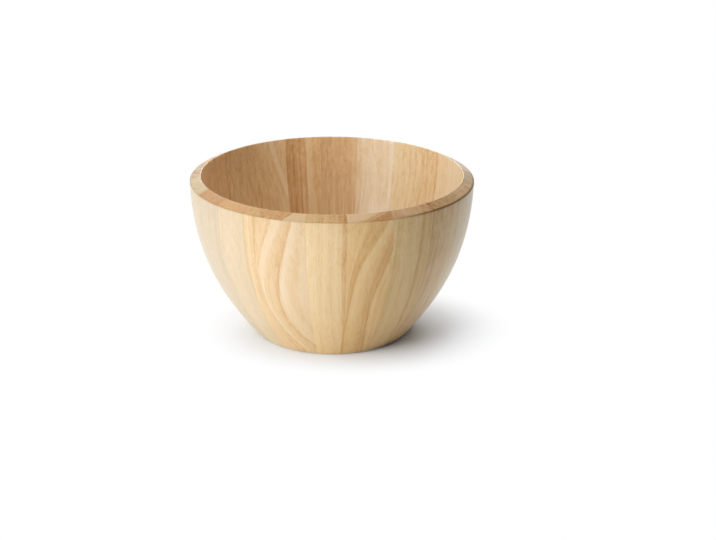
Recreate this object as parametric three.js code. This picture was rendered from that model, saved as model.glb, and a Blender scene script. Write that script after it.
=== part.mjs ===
// A stave-built wooden bowl: upright staves glued edge to edge into a ring and turned to shape,
// with a floor of three edge-glued boards dropped onto a ledge at the foot of the staves.
// Millimetres, +Z up. The origin is the middle of the bowl's foot, and -Y is the front.
import * as THREE from "three";

// Overall form, to the corners before they are eased
const HEIGHT = 145; // table to the crest of the rim
const RIM_RADIUS = 125; // axis to the outer edge of the rim
const FOOT_RADIUS = 70.8; // axis to the outer edge of the foot
const WALL = 9.9; // thickness of the turned wall

// Outer curve: its lean from upright at each end, and how far it keeps that direction
const FOOT_FLARE_DEG = 38.2;
const FOOT_REACH = 43;
const RIM_FLARE_DEG = 0.8;
const RIM_REACH = 68;

// Rim: a flat bevel that falls away outwards
const BEVEL_DROP = 4.4;

// Eased corners, as the length taken off each side
const CREST_EASE = 1.2; // inner edge of the bevel
const EDGE_EASE = 0.8; // outer edge of the bevel
const FOOT_EASE = 3; // outer edge of the foot

// Floor and the ledge that carries it
const LEDGE_HEIGHT = 5; // table to the top of the ledge
const LEDGE_DEPTH = 8; // how far the ledge reaches under the floor
const FLOOR_THICKNESS = 8.5;
const FLOOR_LAND = 2; // flat ring of stave between the floor boards and the cove
const COVE_RISE = 9.5; // height of the cove between the floor and the inner wall
const CENTRE_BOARD_WIDTH = 40;

// Joints
const GLUE_LINE = 0.2; // thickness of the glue between two edges
const FLOOR_CLEARANCE = 0.25; // floor boards to the staves, at the edge and on the ledge

// Facets
const OUTER_STEPS = 11;
const INNER_STEPS = 9;
const COVE_STEPS = 4;
const EASE_STEPS = 3;
const STEP_DEG = 4.6; // widest facet round the bowl

// Colours of the wood under its satin varnish
const TONES = { cream: 0xe9d3aa, honey: 0xdcbd88, tan: 0xd0a873, brown: 0xb98a58 };
const VARNISH_ROUGHNESS = 0.45;

// Staves, from the one at the front round to the right: width along the rim, and tone.
// The widths share out the full turn.
const FIRST_SEAM_DEG = -10; // left edge of the first stave, from the front
const STAVES = [
  { width: 34, tone: "honey" },
  { width: 39, tone: "cream" },
  { width: 39, tone: "honey" },
  { width: 38, tone: "honey" },
  { width: 39, tone: "honey" },
  { width: 39, tone: "cream" },
  { width: 40, tone: "cream" },
  { width: 43, tone: "tan" },
  { width: 36, tone: "honey" },
  { width: 41, tone: "cream" },
  { width: 38, tone: "tan" },
  { width: 38, tone: "brown" },
  { width: 39, tone: "tan" },
  { width: 40, tone: "brown" },
  { width: 39, tone: "honey" },
  { width: 41, tone: "honey" },
  { width: 43, tone: "cream" },
  { width: 34, tone: "tan" },
  { width: 30, tone: "cream" },
  { width: 55, tone: "honey" },
];

// A direction in the turned section that leans out from upright by an angle in degrees.
function leaning(degrees) {
  const angle = THREE.MathUtils.degToRad(degrees);
  return new THREE.Vector2(Math.sin(angle), Math.cos(angle));
}

// A corner eased by a short curve, which takes at most half of either side.
function eased(before, corner, after, ease) {
  const sides = [before, after].map((end) => {
    const side = end.clone().sub(corner);
    return side.setLength(Math.min(ease, side.length() / 2)).add(corner);
  });
  return new THREE.QuadraticBezierCurve(sides[0], corner, sides[1]).getPoints(EASE_STEPS);
}

// The outside of the wall from the foot to the rim: x is the radius and y the height.
function outerCurve() {
  const foot = new THREE.Vector2(FOOT_RADIUS, 0);
  const rim = new THREE.Vector2(RIM_RADIUS, HEIGHT - BEVEL_DROP);
  const footHandle = foot.clone().addScaledVector(leaning(FOOT_FLARE_DEG), FOOT_REACH);
  const rimHandle = rim.clone().addScaledVector(leaning(RIM_FLARE_DEG), -RIM_REACH);
  return new THREE.CubicBezierCurve(foot, footHandle, rimHandle, rim);
}

// The inside of the wall, its thickness in from the outside: u is 0 at the foot and 1 at the rim.
function innerPoint(outer, u) {
  const tangent = outer.getTangentAt(u);
  const inwards = new THREE.Vector2(-tangent.y, tangent.x);
  return outer.getPointAt(u).addScaledVector(inwards, WALL);
}

// Where the inside of the wall passes a height, found by halving.
function innerPlaceAtHeight(outer, height) {
  let low = 0;
  let high = 1;
  for (let i = 0; i < 40; i++) {
    const middle = (low + high) / 2;
    if (innerPoint(outer, middle).y < height) low = middle;
    else high = middle;
  }
  return low;
}

// Points at even steps from 0 to 1, each made by a function of its place.
function stepped(count, pointAt) {
  return Array.from({ length: count + 1 }, (_, i) => pointAt(i / count));
}

// The turned section of a stave, as the points round it, and the radius of the seat for the floor.
function staveSection() {
  const outer = outerCurve();
  const floorTop = LEDGE_HEIGHT + FLOOR_CLEARANCE + FLOOR_THICKNESS;

  const coveStart = innerPlaceAtHeight(outer, floorTop + COVE_RISE);
  const coveTop = innerPoint(outer, coveStart);
  const wallDirection = outer.getTangentAt(coveStart);
  const coveCorner = coveTop.clone().addScaledVector(wallDirection, -COVE_RISE / wallDirection.y);
  const coveFoot = new THREE.Vector2(coveCorner.x - coveCorner.distanceTo(coveTop), floorTop);
  const cove = new THREE.QuadraticBezierCurve(coveTop, coveCorner, coveFoot).getPoints(COVE_STEPS);

  const seatRadius = coveFoot.x - FLOOR_LAND;
  const ledgeRadius = seatRadius - LEDGE_DEPTH;
  const ledgeFoot = new THREE.Vector2(ledgeRadius, 0);

  const outside = stepped(OUTER_STEPS, (u) => outer.getPointAt(u));
  const inside = stepped(INNER_STEPS, (s) => innerPoint(outer, THREE.MathUtils.lerp(1, coveStart, s)));
  const foot = outside[0];
  const rim = outside[OUTER_STEPS];
  const wallTop = inside[0];
  const rimLean = leaning(RIM_FLARE_DEG);
  const crest = wallTop.clone().addScaledVector(rimLean, (HEIGHT - wallTop.y) / rimLean.y);

  const points = [
    ledgeFoot,
    ...eased(ledgeFoot, foot, outside[1], FOOT_EASE),
    ...outside.slice(1, -1),
    ...eased(outside[OUTER_STEPS - 1], rim, crest, EDGE_EASE),
    ...eased(rim, crest, wallTop, CREST_EASE),
    ...inside.slice(0, -1),
    ...cove,
    new THREE.Vector2(seatRadius, floorTop),
    new THREE.Vector2(seatRadius, LEDGE_HEIGHT),
    new THREE.Vector2(ledgeRadius, LEDGE_HEIGHT),
  ];
  return { points, seatRadius };
}

// A stave: the section drawn out in steps and bent round the axis between its two seams.
// Each edge stands back from its seam by half a glue line, so neighbouring edges stay parallel.
function staveGeometry(points, startAngle, endAngle) {
  const steps = Math.ceil(THREE.MathUtils.radToDeg(endAngle - startAngle) / STEP_DEG);
  const options = { depth: 1, steps, bevelEnabled: false };
  const geometry = new THREE.ExtrudeGeometry(new THREE.Shape(points), options);
  const position = geometry.getAttribute("position");
  for (let i = 0; i < position.count; i++) {
    const radius = position.getX(i);
    const height = position.getY(i);
    const setBack = Math.asin(GLUE_LINE / 2 / radius);
    // The drawing out runs from the right seam to the left one, so that the faces point outwards.
    const angle = THREE.MathUtils.lerp(endAngle - setBack, startAngle + setBack, position.getZ(i));
    position.setXYZ(i, radius * Math.sin(angle), -radius * Math.cos(angle), height);
  }
  geometry.computeVertexNormals();
  return geometry;
}

// The seams between the staves, as angles from the front.
function seamAngles() {
  const total = STAVES.reduce((sum, stave) => sum + stave.width, 0);
  const angles = [THREE.MathUtils.degToRad(FIRST_SEAM_DEG)];
  for (const stave of STAVES) {
    angles.push(angles.at(-1) + (stave.width / total) * 2 * Math.PI);
  }
  return angles;
}

// One board of the round floor, between two upright cuts at x = left and x = right.
function floorBoardGeometry(radius, left, right) {
  const leftAngle = Math.acos(left / radius);
  const rightAngle = Math.acos(right / radius);
  const outline = new THREE.Shape();
  outline.absarc(0, 0, radius, rightAngle, leftAngle, false);
  outline.absarc(0, 0, radius, -leftAngle, -rightAngle, false);
  const geometry = new THREE.ExtrudeGeometry(outline, { depth: FLOOR_THICKNESS, bevelEnabled: false });
  return geometry.translate(0, 0, LEDGE_HEIGHT + FLOOR_CLEARANCE);
}

function woodenMesh(name, geometry, tone) {
  const material = new THREE.MeshStandardMaterial({
    color: TONES[tone],
    roughness: VARNISH_ROUGHNESS,
    metalness: 0,
  });
  const mesh = new THREE.Mesh(geometry, material);
  mesh.name = name;
  return mesh;
}

function staveRing(points) {
  const ring = new THREE.Group();
  const seams = seamAngles();
  STAVES.forEach((stave, i) => {
    const name = "stave_" + String(i + 1).padStart(2, "0");
    ring.add(woodenMesh(name, staveGeometry(points, seams[i], seams[i + 1]), stave.tone));
  });
  return ring;
}

function boardFloor(radius) {
  const floor = new THREE.Group();
  const half = CENTRE_BOARD_WIDTH / 2;
  const next = half + GLUE_LINE;
  floor.add(woodenMesh("floor_board_left", floorBoardGeometry(radius, -radius, -next), "honey"));
  floor.add(woodenMesh("floor_board_centre", floorBoardGeometry(radius, -half, half), "cream"));
  floor.add(woodenMesh("floor_board_right", floorBoardGeometry(radius, next, radius), "tan"));
  return floor;
}

const { points, seatRadius } = staveSection();
const bowl = new THREE.Group();
bowl.add(staveRing(points));
bowl.add(boardFloor(seatRadius - FLOOR_CLEARANCE));

export default bowl;
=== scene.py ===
"""Finished surfaces of a stave-built wooden bowl, laid out as a Blender add-on and run as a script."""

import math

import bpy
import numpy as np
from bpy.props import FloatProperty, FloatVectorProperty, PointerProperty
from mathutils import Matrix, Vector


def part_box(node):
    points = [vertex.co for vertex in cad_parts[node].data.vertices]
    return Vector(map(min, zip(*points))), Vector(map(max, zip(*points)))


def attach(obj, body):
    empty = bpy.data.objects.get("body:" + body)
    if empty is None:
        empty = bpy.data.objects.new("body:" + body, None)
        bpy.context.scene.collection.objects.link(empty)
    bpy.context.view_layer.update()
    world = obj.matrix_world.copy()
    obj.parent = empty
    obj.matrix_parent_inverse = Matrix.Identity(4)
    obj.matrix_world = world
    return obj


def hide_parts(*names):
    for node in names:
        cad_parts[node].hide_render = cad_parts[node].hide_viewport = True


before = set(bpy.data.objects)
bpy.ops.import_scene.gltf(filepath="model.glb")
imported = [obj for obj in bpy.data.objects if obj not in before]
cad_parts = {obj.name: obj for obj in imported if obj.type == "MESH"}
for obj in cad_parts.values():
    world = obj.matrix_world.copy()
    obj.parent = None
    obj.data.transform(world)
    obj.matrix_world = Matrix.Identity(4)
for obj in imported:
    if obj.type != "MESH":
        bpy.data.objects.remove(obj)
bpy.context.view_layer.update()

bl_info = {
    "name": "Stave-built wooden bowl",
    "version": (1, 0, 0),
    "blender": (4, 5, 0),
    "location": "3D View > Sidebar > Bowl",
    "description": "Turned and varnished staves, floor boards and a plain studio stage for a wooden bowl",
    "category": "Object",
}

MM = 0.001
STAVE_NAMES = sorted(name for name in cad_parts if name.startswith("stave_"))
BOARD_NAMES = ("floor_board_left", "floor_board_centre", "floor_board_right")

# The photograph's frame, which the camera's lens is worked out for
PHOTO_WIDTH = 716
SENSOR_WIDTH = 36.0

# Growth layers are written on a scale from minus to plus this many millimetres from a board's middle
LAYER_REACH = 40.0
STATION_MIDDLE = 2.5  # middle station of a drawn line, above the board's middle
STATION_REACH = 70.0  # from the middle station of a drawn line to the first and the last
FACE_ROUND = 110.0  # mean radius of the turned outer faces
NARROWEST_LAYER = 0.4

# Steps of the turned section
CURVE_STEPS = 800  # fine steps that measure a curve's run
WALL_STEPS = 4000  # fine steps that find where the cove meets the wall
FACE_STEPS = 100  # steps of the outer face that drawn lines are set on
OUTER_STEPS = 120
INNER_STEPS = 105
COVE_STEPS = 16
FOOT_ROUND_STEPS = 8
ROUND_STEPS = 6
SMALL_ROUND_STEPS = 3
SECTION_STEP = 1.3 * MM  # between points on the section's straight parts

# Steps round the bowl, and the fine groove along a seam: shares of its depth and their distances from it
COLUMN_STEP = 1.5 * MM
GROOVE_SHARES = (1.0, 0.45, 0.08)
GROOVE_PLACES = (0.0, 0.10 * MM, 0.30 * MM)
GROOVE_END = 0.6 * MM
ARC_STEPS = 48  # along each arc of a floor board
SAME_PLACE = 1e-7  # points of a floor board's outline that are closer than this are one
SHARP_EDGE = math.radians(40)

# Painted shade round the bowl, heaviest on the right-hand side, which the left softbox lights least: where
# it starts, is full, starts to fade and ends, in degrees from the front, and its least and most share
SHADE_ANGLES = (15, 48, 80, 110)
SHADE_LEAST = 0.12
SHADE_MOST = 0.8
# Strength and width of the painted shade on the rim's outer edge, the crest and the foot
RIM_SHADE_WIDTH = 0.9 * MM
CREST_SHADE = 0.3
CREST_SHADE_WIDTH = 1.4 * MM
FOOT_SHADE = 1.1
FOOT_SHADE_WIDTH = 4.5 * MM
# Fainter painted shade on the outside, below the rim and above the foot, and the length over which it fades
SHADE_BELOW_RIM = 0.07
SHADE_ABOVE_FOOT = 0.22
SHADE_FADE = 18 * MM
OUTSIDE_NORMAL = 0.5  # the section's normal points out by more than this on the outside

# Random layers: their mean width in millimetres, the spread of it, and the shares of a figure's contrast
# by which a layer is paler or deeper than its base and its closing line deeper still
LAYER_WIDTH = 9.0
FIRST_LAYER = (0.1, 0.6)
LAYER_WIDTHS = (0.6, 1.5)
PALE_SHARES = (0.1, 0.6)
DEEP_SHARES = (0.0, 0.7)
LINE_SHARES = (0.1, 0.9)
PALE_START = 0.3  # millimetres from a layer's start to its palest place
DEEP_PLACE = 0.8  # share of a layer's width at which it has deepened
LINE_PLACE = 0.35  # millimetres from the closing line to a layer's end
LAST_LAYER = 2  # millimetres before the end of the scale, after which no layer starts
MOST_STOPS = 28  # stops after which no layer is added, as a ramp holds 32

# Noise in the wood: size across and along the grain in millimetres, detail and roughness
GRAIN_NOISES = {
    "wave": (16, 70, 1.0, 0.5),
    "ripple": (3, 40, 1.0, 0.5),
    "fibres": (1.3, 32, 3.0, 0.65),
    "hairs": (0.8, 18, 2.0, 0.6),
    "streaks": (3, 90, 2.0, 0.5),
    "clouds": (12, 45, 2.0, 0.5),
    "pore_patches": (7, 60, 1.0, 0.5),
}
NOISE_STEP = 170.0  # millimetres along the grain between one board's noise and the next
LAYER_WAVE = 0.7  # millimetres by which the soft waves move the layers
LAYER_RIPPLE = 0.3
FINE_LINE_SIZE = (1.1, 160)  # millimetres across the layers and along the grain

# How much each adds to the wood's darkness
FINE_LINE_SHARE = 0.16
FIBRE_SHARE = 0.2
HAIR_SHARE = 0.14
STREAK_SHARE = 0.13
CLOUD_SHARE = 0.05

# End grain: the share of the normal along the grain at which it starts and is full, and how much more
# strongly it shows darkness on either side of a middle one
END_GRAIN = (0.6, 0.97)
END_GAIN = 0.9
END_MIDDLE = 0.28

# Darknesses of the four wood colours, from cream to brown
PALETTE_PLACES = (0.0, 0.33, 0.66, 1.0)
FACE_TURN = 0.3  # the tint passes from one face to the other while the normal turns by this much either way

# Tints of the faces that have none of their own. The inside tint is paler and bluer than the outside one:
# painted light that offsets the warm light bounced inside the bowl
PLAIN_OUTSIDE = (0.96, 0.99, 1.04)
PLAIN_INSIDE = (1.04, 1.1, 1.2)
PLAIN_RIM = (1.0, 1.0, 1.0)

# Tint towards the foot, and the height at which it ends
AMBER = (1.03, 1.0, 0.87)
AMBER_RISE = 85 * MM

# Open pores: their size across and along the grain in millimetres, their soft edge, the patches that have
# them, and how many and how dark they are at most
PORE_SIZE = (0.9, 22)
PORE_EDGE = (0.06, 0.2)
PORE_PATCH = (-0.4, 0.5)
PORE_SHARE = 0.5
PORE_DARKNESS = 0.8

# Glue lines: soft edge in millimetres from the seam, and strength
GLUE_EDGE = (0.05, 0.25)
GLUE_SHARE = 0.2

# Relief and gloss of the varnish
HAIR_RELIEF = 0.4
BUMP_STRENGTH = 0.4
BUMP_DEPTH = 0.1 * MM
FIBRE_ROUGHNESS = 0.05
END_ROUGHNESS = 0.12
PORE_ROUGHNESS = 0.2
WOOD_SPECULAR = 0.05
COAT = 0.85
COAT_LOST_ON_ENDS = 0.6
COAT_LOST_UNDER_SHADE = 0.8
COAT_ROUGHNESS = 0.3
COAT_IOR = 1.35

# Lamps: place and size in metres, and power in watts
SOFTBOXES = {
    "left_softbox": ((-1.61, -1.35, 0.71), (1.0, 1.5), 41),
    "back_softbox": ((0, 2.0, 1.0), (1.6, 1.0), 33),
    "top_softbox": ((0, 0, 2.27), (1.0, 1.0), 13),
}
AMBIENT = 0.22  # strength of the world's even light

# Floor: half its side, and the middle, stretch and start and end of its fade to white, in metres
FLOOR_REACH = 6.0
FADE_MIDDLE = (0.0224, -0.0096, 0)
FADE_STRETCH = (1, 1.42, 1)
FADE_RANGE = (0.0586, 0.1483)


def linear(hex_colour):
    """Scene-linear colour of a display colour written as six hexadecimal digits."""
    display = np.array([int(hex_colour[i : i + 2], 16) for i in (0, 2, 4)]) / 255
    return tuple(np.where(display <= 0.04045, display / 12.92, ((display + 0.055) / 1.055) ** 2.4))


def length_property(name, description, default_mm):
    """A length in the panel, given here in millimetres."""
    return FloatProperty(
        name=name, description=description, default=default_mm * MM, unit="LENGTH", precision=5
    )


def angle_property(name, description, default_deg):
    """An angle in the panel, given here in degrees."""
    return FloatProperty(
        name=name, description=description, default=math.radians(default_deg), subtype="ANGLE"
    )


def colour_property(name, description, hex_colour):
    """A colour in the panel, given here as a display colour."""
    return FloatVectorProperty(
        name=name, description=description, default=linear(hex_colour), subtype="COLOR", min=0, max=1
    )


def factor_property(name, description, default):
    """A share from 0 to 1 in the panel."""
    return FloatProperty(
        name=name, description=description, default=default, min=0, max=1, subtype="FACTOR"
    )


class BowlTurning(bpy.types.PropertyGroup):
    """Sizes of the turned section, to its corners before they are eased."""

    height: length_property("Height", "Table to the crest of the rim", 145)
    rim_radius: length_property("Rim radius", "Axis to the outer edge of the rim", 125)
    foot_radius: length_property("Foot radius", "Axis to the outer edge of the foot", 70.8)
    wall: length_property("Wall", "Thickness of the turned wall", 9.9)
    foot_flare: angle_property("Foot flare", "Lean of the outside at the foot, from upright", 38.2)
    foot_reach: length_property("Foot reach", "How far the outside keeps its lean at the foot", 43)
    rim_flare: angle_property("Rim flare", "Lean of the outside at the rim, from upright", 0.8)
    rim_reach: length_property("Rim reach", "How far the outside keeps its lean at the rim", 68)
    bevel_drop: length_property("Bevel drop", "How far the rim's bevel falls outwards", 4.4)
    crest_ease: length_property("Crest ease", "Length taken off the bevel's inner edge", 1.2)
    edge_ease: length_property("Edge ease", "Length taken off the bevel's outer edge", 0.8)
    foot_ease: length_property("Foot ease", "Length taken off the foot's outer edge", 3)
    ledge_height: length_property("Ledge height", "Table to the top of the ledge", 5)
    ledge_depth: length_property("Ledge depth", "Reach of the ledge under the floor", 8)
    floor_thickness: length_property("Floor thickness", "Thickness of the floor boards", 8.5)
    floor_land: length_property("Floor land", "Flat ring of stave round the floor boards", 2)
    cove_rise: length_property("Cove rise", "Height of the cove round the floor", 9.5)
    floor_clearance: length_property("Floor clearance", "Floor boards to the ledge", 0.25)
    board_ease: length_property("Board ease", "Length taken off the floor boards' edges", 0.35)
    seam_ease: length_property("Seam ease", "Depth of the fine groove along a seam", 0.03)


class WoodFinish(bpy.types.PropertyGroup):
    """Colours of the wood and its varnish."""

    cream: colour_property("Cream", "Palest layers of the wood", "e9cfaa")
    honey: colour_property("Honey", "Middle layers of the wood", "dfbc8d")
    tan: colour_property("Tan", "Darker layers of the wood", "c89662")
    brown: colour_property("Brown", "Darkest growth lines", "93602f")
    end_grain: colour_property("End grain", "Tint where the fibres end at the surface", "e2d8c8")
    pore: colour_property("Pore", "Colour inside the open pores", "8a5f38")
    glue: colour_property("Glue", "Colour of a glue line", "a57b4c")
    # Colour of the painted shade along the rim, the crest and the foot
    painted_shade_colour: colour_property("Shading", "Dark rub along the rim and the foot", "4e2c12")
    varnish_roughness: factor_property("Varnish roughness", "Roughness of the satin varnish", 0.42)


class StudioStage(bpy.types.PropertyGroup):
    """Camera, lamps and floor."""

    camera_distance: FloatProperty(
        name="Camera distance", description="Camera to the middle of the bowl", default=1.1706, unit="LENGTH"
    )
    camera_elevation: angle_property("Camera elevation", "Angle down to the bowl", 20.48)
    camera_roll: angle_property("Camera roll", "Turn of the camera about its view", 0.467)
    focal_pixels: FloatProperty(
        name="Focal length", description="Focal length in pixels of the photograph's frame", default=1296.7
    )
    aim_right: length_property("Aim right", "Middle of the view, right of the bowl's axis", 23.34)
    aim_down: length_property("Aim down", "Middle of the view, below the bowl's middle", 19.26)
    floor_colour: colour_property("Floor", "Colour of the floor", "f0f5fd")


# Mesh building


def bezier(points, t):
    """Points of a Bezier curve of any degree: each control point weighted by its Bernstein term."""
    points = np.asarray(points, float)
    degree = len(points) - 1
    terms = [math.comb(degree, k) * (1 - t) ** (degree - k) * t**k for k in range(degree + 1)]
    return np.stack(terms, -1) @ points


def bezier_slope(points, t):
    """Direction of a Bezier curve, as unit vectors: the Bezier curve of its control steps."""
    slope = bezier(np.diff(np.asarray(points, float), axis=0), t)
    return slope / np.linalg.norm(slope, axis=-1, keepdims=True)


def even_places(points, count):
    """Curve parameters from 0 to 1 whose points are evenly spaced along the curve."""
    fine = np.linspace(0, 1, CURVE_STEPS + 1)
    steps = np.linalg.norm(np.diff(bezier(points, fine), axis=0), axis=-1)
    run = np.concatenate([[0], np.cumsum(steps)])
    return np.interp(np.linspace(0, run[-1], count + 1), run, fine)


def leaning(angle):
    """Direction in the turned section that leans out from upright by an angle."""
    return np.array([math.sin(angle), math.cos(angle)])


def straight(start, end):
    """Points from start up to, but without, end, about a section step apart on a straight line."""
    start = np.asarray(start, float)
    end = np.asarray(end, float)
    count = max(1, round(np.linalg.norm(end - start) / SECTION_STEP))
    return start + (end - start) * (np.arange(count) / count)[:, None]


def eased(before, corner, after, ease, count=ROUND_STEPS):
    """A corner rounded by a parabola that touches both sides at the ease's length from the corner."""
    corner = np.asarray(corner, float)
    sides = [corner + (end - corner) / np.linalg.norm(end - corner) * ease for end in (before, after)]
    return bezier([sides[0], corner, sides[1]], np.linspace(0, 1, count + 1))


class TurnedSection:
    """The section that the staves are turned to, in radius and height, from the panel's sizes."""

    def __init__(self, turning):
        foot = np.array([turning.foot_radius, 0.0])
        rim = np.array([turning.rim_radius, turning.height - turning.bevel_drop])
        self.outer = [
            foot,
            foot + leaning(turning.foot_flare) * turning.foot_reach,
            rim - leaning(turning.rim_flare) * turning.rim_reach,
            rim,
        ]
        self.wall = turning.wall
        self.floor_bottom = turning.ledge_height + turning.floor_clearance
        self.floor_top = self.floor_bottom + turning.floor_thickness

        places = np.linspace(0, 1, WALL_STEPS + 1)
        inner = self.inner(places)
        cove_place = np.interp(self.floor_top + turning.cove_rise, inner[:, 1], places)
        cove_top = self.inner(np.array([cove_place]))[0]
        direction = bezier_slope(self.outer, np.array([cove_place]))[0]
        cove_corner = cove_top - direction * turning.cove_rise / direction[1]
        cove_foot = np.array(
            [cove_corner[0] - np.linalg.norm(cove_top - cove_corner), self.floor_top]
        )
        self.seat_radius = cove_foot[0] - turning.floor_land
        ledge_radius = self.seat_radius - turning.ledge_depth

        rim_lean = leaning(turning.rim_flare)
        wall_top = inner[-1]
        crest = wall_top + rim_lean * (turning.height - wall_top[1]) / rim_lean[1]
        ledge_foot = np.array([ledge_radius, 0.0])
        ledge_top = np.array([ledge_radius, turning.ledge_height])
        seat_foot = np.array([self.seat_radius, turning.ledge_height])
        seat_top = np.array([self.seat_radius, self.floor_top])

        outside = bezier(self.outer, even_places(self.outer, OUTER_STEPS))
        foot_round = eased(ledge_foot, foot, outside[2], turning.foot_ease, FOOT_ROUND_STEPS)
        edge_round = eased(outside[-4], rim, crest, turning.edge_ease)
        crest_round = eased(rim, crest, wall_top, turning.crest_ease)
        inner_places = np.linspace(1, cove_place, INNER_STEPS + 1)
        ease = turning.board_ease
        stretches = [
            eased(ledge_top, ledge_foot, foot, ease, SMALL_ROUND_STEPS)[1:],
            straight(ledge_foot + [ease, 0], foot_round[0])[1:],
            foot_round,
            outside[3:-1],
            edge_round,
            straight(edge_round[-1], crest_round[0])[1:],
            crest_round,
            self.inner(inner_places)[:-1],
            bezier([cove_top, cove_corner, cove_foot], np.linspace(0, 1, COVE_STEPS + 1)),
            straight(cove_foot, seat_top)[1:],
            eased(cove_foot, seat_top, seat_foot, ease, SMALL_ROUND_STEPS),
            straight(seat_top - [0, ease], seat_foot)[1:],
            straight(seat_foot, ledge_top),
            eased(seat_foot, ledge_top, ledge_foot, ease, SMALL_ROUND_STEPS),
            straight(ledge_top - [0, ease], ledge_foot + [0, ease])[1:],
        ]
        self.points = np.concatenate(stretches)
        self.rim_edge = rim
        self.crest = crest
        self.chord = np.stack([foot, rim])

    def inner(self, places):
        """Inside of the wall: the outside moved in along its normal by the wall's thickness."""
        slope = bezier_slope(self.outer, places)
        return bezier(self.outer, places) + self.wall * np.stack([-slope[:, 1], slope[:, 0]], -1)

    def face(self):
        """Outer face in the frame of a leaning board: outward and along, from the foot to the rim."""
        origin, axes = board_axes(self, 0.0)
        radius, height = bezier(self.outer, np.linspace(0, 1, FACE_STEPS + 1)).T
        places = np.stack([np.zeros_like(radius), -radius, height], -1) - origin
        return places @ axes[1:].T

    def normals(self):
        """Outward unit normal at each point of the closed section, from its two neighbours."""
        along = np.roll(self.points, -1, axis=0) - np.roll(self.points, 1, axis=0)
        outward = np.stack([along[:, 1], -along[:, 0]], -1)
        return outward / np.linalg.norm(outward, axis=-1, keepdims=True)


def build_mesh(name, vertices, polygons):
    """A mesh from one array of vertices and a list of face arrays, each with one row per face."""
    mesh = bpy.data.meshes.new(name)
    mesh.vertices.add(len(vertices))
    mesh.vertices.foreach_set("co", np.ascontiguousarray(vertices, np.float32).ravel())
    corners = np.concatenate([faces.ravel() for faces in polygons])
    sizes = np.concatenate([np.full(len(faces), faces.shape[1]) for faces in polygons])
    starts = np.concatenate([[0], np.cumsum(sizes)[:-1]])
    mesh.loops.add(len(corners))
    mesh.loops.foreach_set("vertex_index", corners.astype(np.int32))
    mesh.polygons.add(len(sizes))
    mesh.polygons.foreach_set("loop_start", starts.astype(np.int32))
    mesh.update(calc_edges=True)
    if mesh.validate():
        raise RuntimeError(f"{name} has faces that don't form a sound mesh")
    mesh.polygons.foreach_set("use_smooth", np.ones(len(sizes), bool))
    mesh.set_sharp_from_angle(angle=SHARP_EDGE)
    return mesh


def set_attribute(mesh, name, kind, field, values):
    """Stores one value for each vertex, for the materials to read."""
    layer = mesh.attributes.new(name, kind, "POINT")
    layer.data.foreach_set(field, np.ascontiguousarray(values, np.float32).ravel())


def stand_in(name, mesh, material):
    """Links a finished piece in the place of the node of the same name, on the bowl's one body."""
    mesh.materials.append(material)
    piece = bpy.data.objects.new(name + "_wood", mesh)
    bpy.context.scene.collection.objects.link(piece)
    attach(piece, "root")
    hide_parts(name)


def set_grain(mesh, board, layer, number):
    """Stores each vertex's depth into the growth layers, and its place in its board, moved along the grain
    so that no two boards share their noise."""
    set_attribute(mesh, "layer", "FLOAT", "value", layer)
    away = np.array([0.0, 0.0, NOISE_STEP * (number + 1)])
    set_attribute(mesh, "board", "FLOAT_VECTOR", "vector", board + away)


def node_vertices(name):
    """Vertices of a node of the frame, as an array."""
    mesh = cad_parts[name].data
    flat = np.empty(len(mesh.vertices) * 3, np.float32)
    mesh.vertices.foreach_get("co", flat)
    return flat.reshape(-1, 3).astype(float)


def stave_seams():
    """Seam angles from the front, one more than the staves: halfway between neighbours' edges."""
    edges = []
    for name in STAVE_NAMES:
        x, y, _ = node_vertices(name).T
        middle = math.atan2(x.mean(), -y.mean())
        turn = (np.arctan2(x, -y) - middle + math.pi) % (2 * math.pi) - math.pi
        edges.append((middle + turn.min(), middle + turn.max()))
    starts, ends = np.unwrap(np.array(edges), axis=0).T
    seams = (starts[1:] + ends[:-1]) / 2
    first = (starts[0] + ends[-1] - 2 * math.pi) / 2
    return np.concatenate([[first], seams, [first + 2 * math.pi]])


def board_axes(section, middle_angle):
    """Frame of a leaning board: its middle, and its across, outward and along directions."""
    foot, rim = section.chord
    lean = math.atan2(rim[0] - foot[0], rim[1] - foot[1])
    radial = np.array([math.sin(middle_angle), -math.cos(middle_angle), 0.0])
    across = np.array([math.cos(middle_angle), math.sin(middle_angle), 0.0])
    up = np.array([0.0, 0.0, 1.0])
    along = up * math.cos(lean) + radial * math.sin(lean)
    outward = radial * math.cos(lean) - up * math.sin(lean)
    middle = (foot + rim) / 2
    return radial * middle[0] + up * middle[1], np.stack([across, outward, along])


def flat_layers(board, figure):
    """Depth into the growth layers, in millimetres: flat layers turned about the grain by an angle, that
    climb along the board by a slope."""
    across, outward, along = board.T
    turn = math.radians(figure["turn"])
    return across * math.sin(turn) + outward * math.cos(turn) + along * figure.get("slope", 0)


def station_curve(values, along):
    """A smooth curve along the board through values at even stations, from its upper to its lower end: at
    each station its slope is the mean of the steps on either side."""
    values = np.asarray(values, float)
    last = len(values) - 1
    below = STATION_REACH + STATION_MIDDLE - along
    place = np.clip(below / (2 * STATION_REACH) * last, 0, last - 1e-6)
    before = place.astype(int)
    t = place - before
    padded = np.concatenate([[2 * values[0] - values[1]], values, [2 * values[-1] - values[-2]]])
    a, b, c, d = (padded[before + step] for step in range(4))
    return b + t * (c - a) / 2 + t**2 * (2 * a - 5 * b + 4 * c - d) / 2 + t**3 * (3 * b - a - 3 * c + d) / 2


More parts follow.
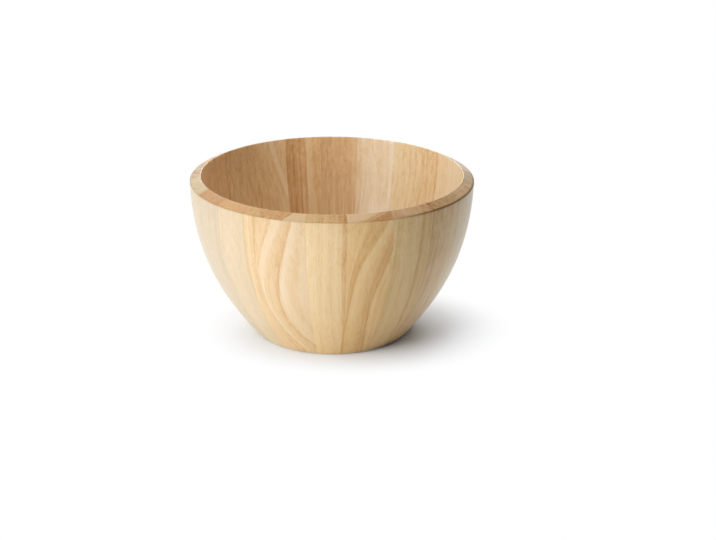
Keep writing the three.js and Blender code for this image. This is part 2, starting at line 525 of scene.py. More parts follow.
def drawn_layers(board, figure, face):
    """Depth into growth layers that are drawn as lines down a board's outer face and pass into the board at
    an angle: in the space between two lines the depth goes evenly from one line's depth to the next's."""
    across, outward, along = board.T
    face_depth = np.interp(along, face[:, 1], face[:, 0]) - across**2 / (2 * FACE_ROUND)
    across = across + (outward - face_depth) / math.tan(math.radians(figure["turn"]))
    depths = np.array(list(figure["lines"]))
    places = np.stack([station_curve(values, along) for values in figure["lines"].values()])
    share = (across - places[:-1]) / np.maximum(np.diff(places, axis=0), NARROWEST_LAYER)
    return depths[0] + (np.clip(share, 0, 1) * np.diff(depths)[:, None]).sum(0)


def shade_round(angles):
    """Share of the painted shade round the bowl: low, with a smooth rise to the right-hand side, which the
    left softbox lights least, and a smooth fall after it."""
    rise = np.interp(np.degrees(angles), SHADE_ANGLES, (0, 1, 1, 0))
    return SHADE_LEAST + (SHADE_MOST - SHADE_LEAST) * rise**2 * (3 - 2 * rise)


def stave_shade(section, angles):
    """Painted shade on each point of a stave: bell curves of the distance from the rim's edge, from the
    crest and from the foot, and fainter parts on the outside that fade with the distance, shared out round
    the bowl."""
    corners = np.stack([section.rim_edge, section.crest, section.chord[0]])
    from_rim, from_crest, from_foot = np.linalg.norm(section.points - corners[:, None], axis=-1)
    outside = section.normals()[:, 0] > OUTSIDE_NORMAL
    edge_shade = np.exp(-((from_rim / RIM_SHADE_WIDTH) ** 2))
    edge_shade += CREST_SHADE * np.exp(-((from_crest / CREST_SHADE_WIDTH) ** 2))
    edge_shade += FOOT_SHADE * np.exp(-((from_foot / FOOT_SHADE_WIDTH) ** 2))
    edge_shade += outside * SHADE_ABOVE_FOOT * np.exp(-from_foot / SHADE_FADE)
    below = outside * SHADE_BELOW_RIM * np.exp(-from_rim / SHADE_FADE)
    return edge_shade[:, None] * shade_round(angles) + below[:, None]


def stave_mesh(name, section, start, end, turning):
    """A stave: the turned section carried round the axis from one seam to the next, as a grid of section
    points by columns. The columns next to a seam sink by the depth of its fine groove."""
    groove = np.array(GROOVE_SHARES) * turning.seam_ease
    groove_places = np.array(GROOVE_PLACES) / turning.rim_radius
    groove_end = GROOVE_END / turning.rim_radius
    count = round((end - start) * turning.rim_radius / COLUMN_STEP)
    columns = np.linspace(start + groove_end, end - groove_end, count)
    angles = np.concatenate([start + groove_places, columns, (end - groove_places)[::-1]])
    sink = np.concatenate([groove, np.zeros(count), groove[::-1]])

    flat = section.points[:, None, :] - section.normals()[:, None, :] * sink[None, :, None]
    radius, height = flat[..., 0], flat[..., 1]
    vertices = np.stack([radius * np.sin(angles), -radius * np.cos(angles), height], -1).reshape(-1, 3)

    index = np.arange(radius.size).reshape(radius.shape)
    above = np.roll(index, -1, axis=0)
    quads = np.stack([index[:, :-1], index[:, 1:], above[:, 1:], above[:, :-1]], -1).reshape(-1, 4)
    mesh = build_mesh(name, vertices, [quads, index[None, :, 0], index[None, ::-1, -1]])

    seam_left = radius * np.sin(angles - start)
    seam_right = radius * np.sin(end - angles)
    # Distances from the two seams in millimetres, and the share of painted shade
    seams_and_shade = np.stack([seam_left / MM, seam_right / MM, stave_shade(section, angles)], -1)
    set_attribute(mesh, "seams_and_shade", "FLOAT_VECTOR", "vector", seams_and_shade)
    return mesh, vertices


def floor_board_mesh(name, radius, left, right, bottom, top, ease):
    """A floor board: its outline, two arcs and two straight cuts, carried up through four levels, of which
    the first and last are drawn in by the eased edge, and closed by flat faces."""
    ends = np.arccos(np.clip(np.array([right, left]) / radius, -1, 1))
    arc = np.linspace(ends[0], ends[1], ARC_STEPS + 1)
    turn = np.concatenate([arc, -arc[::-1]])
    outline = radius * np.stack([np.cos(turn), np.sin(turn)], -1)
    outline = outline[np.linalg.norm(outline - np.roll(outline, 1, axis=0), axis=-1) > SAME_PLACE]
    middle = np.array([(left + right) / 2, 0.0])
    inset = np.array([ease, 0.0, 0.0, ease])
    levels = np.array([bottom, bottom + ease, top - ease, top])
    reach = np.linalg.norm(outline - middle, axis=-1)
    shrink = 1 - inset[:, None] / reach[None, :]
    flat = middle + (outline - middle)[None] * shrink[..., None]
    height = np.broadcast_to(levels[:, None], flat.shape[:2])
    vertices = np.concatenate([flat, height[..., None]], -1).reshape(-1, 3)

    index = np.arange(height.size).reshape(height.shape)
    after = np.roll(index, -1, axis=1)
    quads = np.stack([index[:-1], after[:-1], after[1:], index[1:]], -1).reshape(-1, 4)
    mesh = build_mesh(name, vertices, [quads, index[:1, ::-1], index[-1:]])
    across = vertices[:, 0]
    seams_and_shade = np.stack([(across - left) / MM, (right - across) / MM, np.zeros_like(across)], -1)
    set_attribute(mesh, "seams_and_shade", "FLOAT_VECTOR", "vector", seams_and_shade)
    return mesh, vertices


# Wood


def layer_tones(figure):
    """Darkness stops across the growth layers: each layer starts pale, deepens slowly, and ends in a thin
    dark line. Layers without given places are spaced at random from the figure's seed."""
    if "tones" in figure:
        return figure["tones"]
    draw = np.random.default_rng(figure["seed"])
    base = figure["base"]
    contrast = figure["contrast"]
    stops = []
    place = -LAYER_REACH + LAYER_WIDTH * draw.uniform(*FIRST_LAYER)
    while place < LAYER_REACH - LAST_LAYER and len(stops) < MOST_STOPS:
        width = LAYER_WIDTH * draw.uniform(*LAYER_WIDTHS)
        pale = base - contrast * draw.uniform(*PALE_SHARES)
        deep = base + contrast * draw.uniform(*DEEP_SHARES)
        line = deep + contrast * draw.uniform(*LINE_SHARES)
        stops.append((place + PALE_START, pale))
        stops.append((place + DEEP_PLACE * width, deep))
        stops.append((place + width - LINE_PLACE, line))
        place += width
    return stops


def tone_stops(tones):
    """Colour stops of a ramp over the growth layers, from places in millimetres and darknesses."""
    return [(0.5 + place / (2 * LAYER_REACH), opaque((tone, tone, tone))) for place, tone in tones]


class NodeSheet:
    """Short ways to add and join the nodes of one material or world."""

    def __init__(self, owner):
        owner.use_nodes = True
        self.owner = owner
        self.tree = owner.node_tree
        self.tree.nodes.clear()

    def node(self, kind, values=None, **settings):
        """A node with its settings, and its inputs filled by their names."""
        made = self.tree.nodes.new(kind)
        for key, value in settings.items():
            setattr(made, key, value)
        for key, value in (values or {}).items():
            self.put(made.inputs[key], value)
        return made

    def put(self, socket, value):
        """Links a socket to another, or sets its value."""
        if isinstance(value, bpy.types.NodeSocket):
            self.tree.links.new(value, socket)
        else:
            socket.default_value = value

    def attribute(self, name, output):
        """A value that the mesh holds for each vertex."""
        return self.node("ShaderNodeAttribute", attribute_name=name).outputs[output]

    def parts(self, vector):
        """The three parts of a vector."""
        return self.node("ShaderNodeSeparateXYZ", {"Vector": vector}).outputs

    def math(self, operation, *values, clamp=False):
        """One sum on numbers."""
        made = self.node("ShaderNodeMath", operation=operation, use_clamp=clamp)
        for socket, value in zip(made.inputs, values):
            self.put(socket, value)
        return made.outputs[0]

    def add(self, to, value, share, clamp=False):
        """A value times a share, added to another."""
        return self.math("MULTIPLY_ADD", value, share, to, clamp=clamp)

    def vector_math(self, operation, first, second, output="Vector"):
        """One sum on vectors."""
        made = self.node("ShaderNodeVectorMath", operation=operation)
        self.put(made.inputs[0], first)
        self.put(made.inputs[1], second)
        return made.outputs[output]

    def noise(self, vector, detail=2.0, roughness=0.5):
        """Noise from about -1 to 1."""
        values = {"Vector": vector, "Scale": 1.0, "Detail": detail, "Roughness": roughness}
        return self.add(-1.0, self.node("ShaderNodeTexNoise", values).outputs["Fac"], 2.0)

    def ramp(self, factor, stops):
        """Colours that pass evenly from one stop to the next."""
        made = self.node("ShaderNodeValToRGB", {"Fac": factor})
        elements = made.color_ramp.elements
        while len(elements) > 1:
            elements.remove(elements[-1])
        elements[0].position, elements[0].color = stops[0]
        for place, colour in stops[1:]:
            elements.new(place).color = colour
        return made.outputs["Color"]

    def smooth(self, value, low, high, from_value=0.0, to_value=1.0):
        """A smooth step between two values of an input."""
        values = {"Value": value, "From Min": low, "From Max": high}
        values |= {"To Min": from_value, "To Max": to_value}
        return self.node("ShaderNodeMapRange", values, interpolation_type="SMOOTHSTEP").outputs["Result"]

    def mix(self, factor, first, second, blend="MIX"):
        """One colour laid over another by a factor."""
        made = self.node("ShaderNodeMix", data_type="RGBA", blend_type=blend)
        self.put(made.inputs["Factor"], factor)
        self.put(made.inputs[6], first)
        self.put(made.inputs[7], second)
        return made.outputs[2]

    def tinted(self, colour, tint):
        """A colour times a tint."""
        return self.mix(1.0, colour, tint, "MULTIPLY")


def opaque(colour):
    """A colour with full alpha."""
    return (*colour, 1.0)


def grain_size(sheet, board, across, along):
    """A place in a board, counted in a pattern's sizes across and along the grain."""
    return sheet.vector_math("MULTIPLY", board, (1 / across, 1 / across, 1 / along))


def grain_noise(sheet, board, kind):
    """One of the noises in the wood, drawn out along the grain."""
    across, along, detail, roughness = GRAIN_NOISES[kind]
    return sheet.noise(grain_size(sheet, board, across, along), detail, roughness)


def wood_darkness(sheet, figure, board, ends, noises):
    """Darkness of the wood: tones across the growth layers, which soft waves move, plus shares of finer
    lines between the layers and of the other noises. End grain shows it more strongly, and on some staves in
    tones of its own."""
    depth = sheet.add(sheet.attribute("layer", "Fac"), noises["wave"], figure.get("wave", LAYER_WAVE))
    depth = sheet.add(depth, noises["ripple"], LAYER_RIPPLE)
    place = sheet.add(0.5, depth, 0.5 / LAYER_REACH)
    darkness = sheet.ramp(place, tone_stops(layer_tones(figure)))
    if "rim_tones" in figure:
        darkness = sheet.mix(ends, darkness, sheet.ramp(place, tone_stops(figure["rim_tones"])))

    across, along = FINE_LINE_SIZE
    lines = sheet.node("ShaderNodeCombineXYZ")
    sheet.put(lines.inputs[0], sheet.math("MULTIPLY", depth, 1 / across))
    sheet.put(lines.inputs[1], sheet.math("MULTIPLY", sheet.parts(board)[2], 1 / along))
    darkness = sheet.add(darkness, sheet.noise(lines.outputs[0]), FINE_LINE_SHARE)
    darkness = sheet.add(darkness, noises["fibres"], FIBRE_SHARE)
    darkness = sheet.add(darkness, noises["hairs"], HAIR_SHARE)
    darkness = sheet.add(darkness, noises["streaks"], figure.get("streaks", STREAK_SHARE))
    darkness = sheet.add(darkness, noises["clouds"], CLOUD_SHARE, clamp=True)

    strong = sheet.add(1.0, ends, END_GAIN)
    return sheet.add(END_MIDDLE, sheet.math("SUBTRACT", darkness, END_MIDDLE), strong, clamp=True)


def open_pores(sheet, board, patches):
    """Open pores, in patches: short dashes along the grain, each about the middle of a drawn-out cell."""
    values = {"Vector": grain_size(sheet, board, *PORE_SIZE), "Scale": 1.0}
    cells = sheet.node("ShaderNodeTexVoronoi", values, feature="F1")
    dashes = sheet.smooth(cells.outputs["Distance"], *PORE_EDGE, 1.0, 0.0)
    return sheet.math("MULTIPLY", dashes, sheet.smooth(patches, *PORE_PATCH, 0.0, PORE_SHARE))


def varnished_wood(name, finish, figure, grain, outward):
    """Varnished wood for one board, whose fibres and outer face point in given directions: the wood's
    colours by its darkness, tinted on each face, partly with painted light, with open pores, glue lines,
    painted shade and a satin varnish."""
    sheet = NodeSheet(bpy.data.materials.new(name))
    board = sheet.attribute("board", "Vector")
    noises = {kind: grain_noise(sheet, board, kind) for kind in GRAIN_NOISES}
    normal = sheet.node("ShaderNodeNewGeometry").outputs["Normal"]
    ends = sheet.vector_math("DOT_PRODUCT", normal, tuple(grain), "Value")
    ends = sheet.smooth(sheet.math("ABSOLUTE", ends), *END_GRAIN)
    shades = [opaque(shade) for shade in (finish.cream, finish.honey, finish.tan, finish.brown)]
    darkness = wood_darkness(sheet, figure, board, ends, noises)
    colour = sheet.ramp(darkness, list(zip(PALETTE_PLACES, shades)))

    # The two faces of a board and its ends differ in tint; besides the wood's own colour the tints hold
    # painted light
    facing = sheet.vector_math("DOT_PRODUCT", normal, tuple(outward), "Value")
    inside = opaque(figure.get("inside", PLAIN_INSIDE))
    outside = opaque(figure.get("outside", PLAIN_OUTSIDE))
    rim = opaque(np.array(finish.end_grain) * figure.get("rim", PLAIN_RIM))
    tint = sheet.mix(sheet.smooth(facing, -FACE_TURN, FACE_TURN), inside, outside)
    colour = sheet.tinted(colour, sheet.mix(ends, tint, rim))

    # The colour grows more amber towards the foot
    height = sheet.parts(sheet.node("ShaderNodeTexCoord").outputs["Object"])[2]
    low = sheet.smooth(height, 0.0, AMBER_RISE, 1.0, 0.0)
    colour = sheet.mix(low, colour, sheet.tinted(colour, opaque(AMBER)))

    # Pores, glue lines, and the painted shade on the rim, the crest and the foot
    pores = open_pores(sheet, board, noises["pore_patches"])
    colour = sheet.mix(sheet.math("MULTIPLY", pores, PORE_DARKNESS), colour, opaque(finish.pore))
    seam_left, seam_right, painted_shade = sheet.parts(sheet.attribute("seams_and_shade", "Vector"))
    nearest = sheet.math("MINIMUM", seam_left, seam_right)
    colour = sheet.mix(sheet.smooth(nearest, *GLUE_EDGE, GLUE_SHARE, 0.0), colour, opaque(finish.glue))
    colour = sheet.mix(painted_shade, colour, opaque(finish.painted_shade_colour))

    # Varnish: thinner on end grain and where the painted shade lies
    relief = sheet.add(sheet.math("MULTIPLY", noises["hairs"], HAIR_RELIEF), pores, -1.0)
    values = {"Strength": BUMP_STRENGTH, "Distance": BUMP_DEPTH, "Height": relief}
    bump = sheet.node("ShaderNodeBump", values).outputs["Normal"]
    rough = sheet.add(finish.varnish_roughness, noises["fibres"], FIBRE_ROUGHNESS)
    rough = sheet.add(rough, ends, END_ROUGHNESS)
    coat = sheet.add(COAT, ends, -COAT_LOST_ON_ENDS)
    values = {
        "Base Color": colour,
        "Roughness": sheet.add(rough, pores, PORE_ROUGHNESS),
        "Specular IOR Level": WOOD_SPECULAR,
        "Coat Weight": sheet.add(coat, painted_shade, -COAT_LOST_UNDER_SHADE, clamp=True),
        "Coat Roughness": COAT_ROUGHNESS,
        "Coat IOR": COAT_IOR,
        "Normal": bump,
        "Coat Normal": bump,
    }
    shader = sheet.node("ShaderNodeBsdfPrincipled", values)
    sheet.node("ShaderNodeOutputMaterial", {"Surface": shader.outputs["BSDF"]})
    return sheet.owner


# How each stave's board was sawn and finished. Its layers turn about the grain by an angle in degrees and
# climb along it by a slope. Wave and streaks are its own shares of these noises. Rim, outside and inside are
# tints, which hold painted light as well as the wood's own colour: the insides are paler and bluer,
# offsetting the warm light bounced inside the bowl, those of the left-hand staves 13 to 16, in shade,
# lighter still, and the outsides of the staves at the two silhouettes greyer and bluer, a painted grazing
# reflection. Tones are darknesses at places across the layers, in millimetres, and rim tones those of its
# end grain. Lines are drawn
# down the outer face: for each depth, places across it at five stations from rim to foot. A board with a
# seed has random layers about a base darkness.
STAVE_FIGURES = {
    "stave_01": {
        "turn": 86, "rim": (1.09, 1.08, 1.05), "outside": (1.09, 1.14, 1.13),
        "tones": [(-20, 0.26), (-15, 0.24), (-9, 0.2), (-7.5, 0.22), (-5.5, 0.3), (-1, 0.22), (2, 0.27),
                  (5, 0.34), (6, 0.28), (9, 0.25), (12, 0.3), (13, 0.4), (15.5, 0.56), (18, 0.48)],
        "rim_tones": [(-20, 0.26), (-15, 0.24), (-9, 0.22), (-5.5, 0.28), (-1, 0.24), (5, 0.32),
                      (9, 0.27), (13, 0.36), (15.5, 0.44), (18, 0.4)],
    },
    "stave_02": {
        "turn": 26, "wave": 0.3, "rim": (1.13, 1.15, 1.22), "outside": (1.02, 0.97, 0.79),
        "lines": {0: (-26, -24, -22, -20, -18), 3: (-8.5, -15.4, -17, -16.5, -15),
                  6: (2, -12, -15.5, -15.6, -14), 9: (14, -6.8, -12.9, -13.6, -11.5),
                  11: (17, -3.4, -10.2, -8.4, -4), 18: (28, 15.3, 5.7, 4.2, 7),
                  21: (33, 20.5, 10.3, 9.6, 11), 24: (38, 27, 21, 18, 17)},
        "tones": [(0, 0.2), (1.2, 0.16), (3, 0.34), (3.6, 0.26), (5, 0.34), (6, 0.46), (6.6, 0.33),
                  (8, 0.44), (8.8, 0.53), (9.5, 0.22), (11, 0.16), (13, 0.28), (15.6, 0.42),
                  (17.4, 0.48), (18, 0.6), (18.6, 0.24), (20, 0.22), (21, 0.32), (21.6, 0.24),
                  (24, 0.38)],
        "rim_tones": [(0, 0.12), (2, 0.16), (3, 0.32), (5, 0.42), (9, 0.5), (13, 0.5), (24, 0.5)],
    },
    "stave_03": {
        "turn": 80, "streaks": 0.18, "rim": (1.04, 1.02, 1.12), "outside": (0.96, 0.95, 0.8),
        "tones": [(-22, 0.3), (-17, 0.18), (-16, 0.22), (-15.2, 0.34), (-11, 0.3), (-7, 0.2), (-3, 0.3),
                  (2, 0.22), (7, 0.28), (9.2, 0.44), (10.4, 0.5), (11.4, 0.4), (13, 0.32), (15, 0.36),
                  (22, 0.38)],
        "rim_tones": [(-22, 0.3), (-10, 0.26), (4, 0.27), (9, 0.34), (11, 0.38), (14, 0.34), (22, 0.36)],
    },
    "stave_04": {
        "turn": 80, "streaks": 0.26, "rim": (0.93, 0.93, 0.89), "outside": (0.92, 0.92, 0.86),
        "tones": [(-22, 0.56), (-18.6, 0.5), (-17.6, 0.44), (-16.8, 0.57), (-15.6, 0.41), (-13, 0.46),
                  (-11, 0.36), (-8, 0.44), (-4, 0.3), (0, 0.38), (3, 0.26), (6, 0.34), (12, 0.24),
                  (22, 0.28)],
        "rim_tones": [(-22, 0.48), (-16, 0.42), (-10, 0.36), (0, 0.34), (12, 0.28), (22, 0.28)],
    },
    "stave_05": {
        "turn": 84, "streaks": 0.26, "rim": (0.99, 0.99, 0.97), "outside": (0.92, 1, 1.06), "seed": 5,
        "base": 0.28, "contrast": 0.12,
    },
    "stave_06": {
        "turn": 60, "rim": (0.84, 0.93, 1), "outside": (0.98, 1.06, 1.14), "seed": 6, "base": 0.25,
        "contrast": 0.12,
    },
    "stave_07": {
        "turn": 70, "rim": (1.01, 1.19, 1.54), "inside": (1, 1.12, 1.27), "seed": 7, "base": 0.14,
        "contrast": 0.1,
    },
    "stave_08": {
        "turn": 87, "streaks": 0.24, "rim": (1.02, 1.15, 1.44), "inside": (1.01, 1.09, 1.19),
        "tones": [(-24, 0.16), (-14, 0.21), (-8, 0.17), (-3.4, 0.2), (-2.6, 0.5), (-1.4, 0.4), (3, 0.3),
                  (5, 0.42), (6, 0.3), (11, 0.36), (13, 0.46), (14, 0.32), (20, 0.4)],
    },
    "stave_09": {
        "turn": 89, "streaks": 0.24, "rim": (1.04, 1.24, 1.61), "inside": (1.03, 1.17, 1.33),
        "tones": [(-20, 0.3), (-15, 0.36), (-12, 0.26), (-9, 0.38), (-7, 0.28), (-3, 0.36), (-1, 0.26),
                  (3, 0.34), (6, 0.38), (7, 0.26), (11, 0.34), (14, 0.2), (17, 0.24)],
    },
    "stave_10": {
        "turn": 84, "streaks": 0.24, "rim": (1.06, 1.29, 1.85), "inside": (1.05, 1.22, 1.52),
        "tones": [(-24, 0.12), (-17, 0.07), (-15, 0.09), (-14.4, 0.26), (-9, 0.2), (-4, 0.26),
                  (0, 0.16), (5, 0.24), (9, 0.3), (12, 0.24), (14, 0.36), (20, 0.32)],
    },
    "stave_11": {
        "turn": 86, "streaks": 0.24, "rim": (0.97, 1.05, 1.28), "inside": (0.96, 0.99, 1.06),
        "tones": [(-20, 0.3), (-14, 0.32), (-11, 0.42), (-5, 0.36), (1, 0.42), (4, 0.36), (9, 0.44),
                  (13, 0.38), (16.4, 0.44), (17, 0.62)],
    },
    "stave_12": {
        "turn": 88, "streaks": 0.24, "rim": (1.06, 1.17, 1.4), "inside": (1.05, 1.1, 1.16),
        "tones": [(-20, 0.5), (-16.6, 0.44), (-10, 0.42), (-8.6, 0.28), (-3.4, 0.21), (-2.6, 0.5),
                  (1, 0.42), (3, 0.58), (5, 0.46), (8, 0.52), (10, 0.62), (12, 0.5), (15, 0.59),
                  (20, 0.48)],
    },
    "stave_13": {
        "turn": 88, "slope": -0.28, "streaks": 0.24, "rim": (1.15, 1.31, 1.67),
        "inside": (1.14, 1.24, 1.38),
        "tones": [(-40, 0.4), (-30, 0.3), (-27, 0.38), (-25.4, 0.14), (-22, 0.12), (-20.6, 0.34),
                  (-15, 0.28), (-13, 0.4), (-12.4, 0.3), (-7, 0.36), (-4, 0.46), (-3, 0.34), (2, 0.4),
                  (10, 0.46)],
    },
    "stave_14": {
        "turn": 86, "streaks": 0.24, "rim": (1.16, 1.34, 1.78), "inside": (1.15, 1.27, 1.47),
        "tones": [(-20, 0.42), (-12, 0.46), (-6, 0.4), (0, 0.48), (4, 0.42), (10, 0.46), (16, 0.44),
                  (17.2, 0.64)],
    },
    "stave_15": {
        "turn": 84, "streaks": 0.24, "rim": (1.17, 1.29, 1.68), "inside": (1.16, 1.22, 1.39),
        "tones": [(-20, 0.4), (-11, 0.42), (-10, 0.6), (-9, 0.4), (0, 0.44), (8, 0.38), (18, 0.44)],
    },
    "stave_16": {
        "turn": 40, "rim": (0.91, 1.05, 1.4), "inside": (1.12, 1.12, 1.23), "seed": 16, "base": 0.28,
        "contrast": 0.16,
    },
    "stave_17": {
        "turn": 75, "rim": (0.94, 1.09, 1.25), "outside": (0.84, 0.93, 1.08), "seed": 17, "base": 0.18,
        "contrast": 0.1,
    },
    "stave_18": {
        "turn": 80, "rim": (0.88, 0.75, 0.7), "outside": (0.82, 0.91, 1.06), "seed": 18, "base": 0.18,
        "contrast": 0.06,
    },
    "stave_19": {
        "turn": 84, "rim": (1.01, 0.9, 0.82), "outside": (0.89, 0.97, 1.08),
        "tones": [(-16, 0.18), (-12, 0.2), (-5, 0.15), (2, 0.14), (6, 0.18), (11, 0.16), (13, 0.2),
                  (15, 0.3)],
    },
    "stave_20": {
        "turn": 58, "wave": 0.3, "rim": (1.1, 1.12, 1.19), "outside": (1, 1.03, 1.07),
        "lines": {0: (-28, -27.5, -26, -22.5, -16), 4: (-22, -20.8, -19.4, -12.4, 0),
                  6: (-18, -18.2, -17.2, -9.5, 5), 8: (-2.5, -14.9, -15.2, -8, 7),
                  11: (7.5, -7.5, -12.6, -4.5, 11), 15: (15.6, 5.2, -1, 4.2, 21),
                  20: (24.5, 17.6, 12.4, 21, 36), 24: (31, 28, 26, 30, 45)},
        "tones": [(0, 0.3), (1.4, 0.25), (3.2, 0.24), (4, 0.35), (4.5, 0.26), (5.6, 0.36), (6, 0.52),
                  (6.5, 0.24), (7.6, 0.26), (8, 0.46), (8.4, 0.06), (10, 0.09), (11, 0.2), (13, 0.3),
                  (14.4, 0.37), (15, 0.48), (15.5, 0.1), (17.5, 0.1), (19, 0.18), (20, 0.28),
                  (20.6, 0.18), (24, 0.18)],
        "rim_tones": [(0, 0.3), (9.5, 0.34), (11, 0.4), (11.6, 0.06), (15.5, 0.1), (19, 0.12), (24, 0.2)],
    },
}

# The floor boards' fibres run from front to back, and their outer face is the underside
FLOOR_GRAIN = (0, 1, 0)
FLOOR_OUTSIDE = (0, 0, -1)
BOARD_FIGURES = {
    "floor_board_left": {"turn": 30, "seed": 31, "base": 0.3, "contrast": 0.2},
    "floor_board_centre": {"turn": 65, "seed": 32, "base": 0.22, "contrast": 0.2},
    "floor_board_right": {"turn": 80, "seed": 33, "base": 0.34, "contrast": 0.2},
}


class BOWL_OT_staves(bpy.types.Operator):
    """Make the turned, varnished staves"""

    bl_idname = "bowl.staves"
    bl_label = "Staves"

    def execute(self, context):
        turning = context.scene.bowl_turning
        finish = context.scene.bowl_finish
        section = TurnedSection(turning)
        seams = stave_seams()
        face = section.face() / MM
        for number, (name, start, end) in enumerate(zip(STAVE_NAMES, seams, seams[1:])):
            figure = STAVE_FIGURES[name]
            mesh, vertices = stave_mesh(name, section, start, end, turning)
            origin, axes = board_axes(section, start + (end - start) / 2)
            board = (vertices - origin) @ axes.T / MM
            layer = drawn_layers(board, figure, face) if "lines" in figure else flat_layers(board, figure)
            set_grain(mesh, board, layer, number)
            stand_in(name, mesh, varnished_wood(name + "_varnished", finish, figure, axes[2], axes[1]))
        return {"FINISHED"}


class BOWL_OT_floor_boards(bpy.types.Operator):
    """Make the boards of the bowl's floor"""

    bl_idname = "bowl.floor_boards"
    bl_label = "Floor boards"

    def execute(self, context):
        turning = context.scene.bowl_turning
        finish = context.scene.bowl_finish
        section = TurnedSection(turning)
        boxes = [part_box(name) for name in BOARD_NAMES]
        radius = boxes[2][1].x
        cuts = [-radius, *((boxes[i][1].x + boxes[i + 1][0].x) / 2 for i in (0, 1)), radius]
        levels = (section.floor_bottom, section.floor_top)
        for number, (name, left, right) in enumerate(zip(BOARD_NAMES, cuts, cuts[1:])):
            figure = BOARD_FIGURES[name]
            mesh, vertices = floor_board_mesh(name, radius, left, right, *levels, turning.board_ease)
            middle = np.array([(left + right) / 2, 0.0, section.floor_top])
            board = (vertices - middle)[:, [0, 2, 1]] / MM
            set_grain(mesh, board, flat_layers(board, figure), len(STAVE_NAMES) + number)
            wood = varnished_wood(name + "_varnished", finish, figure, FLOOR_GRAIN, FLOOR_OUTSIDE)
            stand_in(name, mesh, wood)
        return {"FINISHED"}


# Stage


def seen_directly(sheet):
    """1 for a ray that shows the stage to the eye, straight or in gloss or glass, and 0 for one of light."""
    path = sheet.node("ShaderNodeLightPath").outputs
    seen = sheet.math("MAXIMUM", path["Is Camera Ray"], path["Is Glossy Ray"])
    return sheet.math("MAXIMUM", seen, path["Is Transmission Ray"])


def floor_material(colour):
    """A pale matt floor that keeps the bowl's shadow and fades to plain white away from the bowl."""
    sheet = NodeSheet(bpy.data.materials.new("studio_floor"))
    matt = sheet.node("ShaderNodeBsdfDiffuse", {"Color": opaque(colour)})
    glow = sheet.node("ShaderNodeEmission")
    place = sheet.node("ShaderNodeTexCoord").outputs["Object"]
    away = sheet.vector_math("SUBTRACT", place, FADE_MIDDLE)
    away = sheet.vector_math("MULTIPLY", away, FADE_STRETCH)
    away = sheet.vector_math("LENGTH", away, (0, 0, 0), "Value")
    white = sheet.math("MULTIPLY", seen_directly(sheet), sheet.smooth(away, *FADE_RANGE))
    blend = sheet.node("ShaderNodeMixShader")
    for socket, value in zip(blend.inputs, (white, matt.outputs[0], glow.outputs[0])):
        sheet.put(socket, value)
    sheet.node("ShaderNodeOutputMaterial", {"Surface": blend.outputs[0]})
    return sheet.owner


def white_world():
    """A world that is plain white to the eye and in reflections, and gives a low even light."""
    sheet = NodeSheet(bpy.data.worlds.new("studio_white"))
    strength = sheet.add(AMBIENT, seen_directly(sheet), 1 - AMBIENT)
    background = sheet.node("ShaderNodeBackground", {"Color": (1, 1, 1, 1), "Strength": strength})
    sheet.node("ShaderNodeOutputWorld", {"Surface": background.outputs[0]})
    bpy.context.scene.world = sheet.owner


def softbox(name, place, size, power, aim):
    """A rectangular lamp at a place, facing a point."""
    lamp = bpy.data.lights.new(name, "AREA")
    lamp.shape = "RECTANGLE"
    lamp.size, lamp.size_y = size
    lamp.energy = power
    thing = bpy.data.objects.new(name, lamp)
    thing.location = place
    thing.rotation_euler = (Vector(aim) - Vector(place)).to_track_quat("-Z", "Y").to_euler()
    thing.visible_camera = False
    bpy.context.scene.collection.objects.link(thing)


def photo_camera(stage, height):
    """The camera of the photograph: on the front side, above, aimed a little right of and below the bowl."""
    middle = Vector((0, 0, height / 2))
    elevation = stage.camera_elevation
    back = Vector((0, -math.cos(elevation), math.sin(elevation)))
    up = Vector((0, math.sin(elevation), math.cos(elevation)))
    place = middle + back * stage.camera_distance
    aim = middle + Vector((stage.aim_right, 0, 0)) - up * stage.aim_down
    camera = bpy.data.cameras.new("photo_camera")
    camera.sensor_width = SENSOR_WIDTH
    camera.sensor_fit = "HORIZONTAL"
    camera.lens = stage.focal_pixels * SENSOR_WIDTH / PHOTO_WIDTH
    thing = bpy.data.objects.new("photo_camera", camera)
    turn = (aim - place).to_track_quat("-Z", "Y").to_matrix() @ Matrix.Rotation(stage.camera_roll, 3, "Z")
    thing.matrix_world = Matrix.Translation(place) @ turn.to_4x4()
    bpy.context.scene.collection.objects.link(thing)
    bpy.context.scene.camera = thing


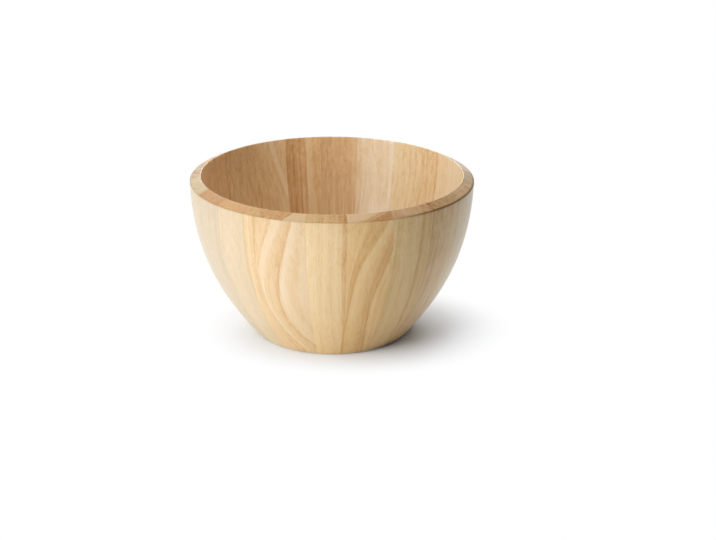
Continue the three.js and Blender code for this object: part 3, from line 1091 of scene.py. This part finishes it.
class BOWL_OT_stage(bpy.types.Operator):
    """Make the floor, the lamps, the world and the camera"""

    bl_idname = "bowl.stage"
    bl_label = "Stage"

    def execute(self, context):
        stage = context.scene.bowl_stage
        height = context.scene.bowl_turning.height
        corners = FLOOR_REACH * np.array([[-1, -1, 0], [1, -1, 0], [1, 1, 0], [-1, 1, 0]])
        mesh = build_mesh("studio_floor", corners, [np.array([[0, 1, 2, 3]])])
        mesh.materials.append(floor_material(stage.floor_colour))
        floor = bpy.data.objects.new("studio_floor", mesh)
        context.scene.collection.objects.link(floor)
        white_world()
        for name, (place, size, power) in SOFTBOXES.items():
            softbox(name, place, size, power, (0, 0, height / 2))
        photo_camera(stage, height)
        context.scene.view_settings.view_transform = "Standard"
        return {"FINISHED"}


class BOWL_PT_panel(bpy.types.Panel):
    """Lists the bowl's pieces, sizes and colours"""

    bl_idname = "BOWL_PT_panel"
    bl_label = "Wooden bowl"
    bl_space_type = "VIEW_3D"
    bl_region_type = "UI"
    bl_category = "Bowl"

    def draw(self, context):
        for operator in OPERATORS:
            self.layout.operator(operator.bl_idname)
        for key, group in GROUPS.items():
            column = self.layout.column()
            for name in group.__annotations__:
                column.prop(getattr(context.scene, key), name)


GROUPS = {"bowl_turning": BowlTurning, "bowl_finish": WoodFinish, "bowl_stage": StudioStage}
OPERATORS = (BOWL_OT_staves, BOWL_OT_floor_boards, BOWL_OT_stage)
CLASSES = (*GROUPS.values(), *OPERATORS, BOWL_PT_panel)


def register():
    """Registers the classes and gives the scene its sizes and colours."""
    for cls in CLASSES:
        bpy.utils.register_class(cls)
    for key, group in GROUPS.items():
        setattr(bpy.types.Scene, key, PointerProperty(type=group))


def unregister():
    """Takes the sizes, colours and classes away again."""
    for key in GROUPS:
        delattr(bpy.types.Scene, key)
    for cls in reversed(CLASSES):
        bpy.utils.unregister_class(cls)


def main():
    """Makes the bowl and its stage."""
    register()
    bpy.ops.bowl.staves()
    bpy.ops.bowl.floor_boards()
    bpy.ops.bowl.stage()


if __name__ == "__main__":
    main()
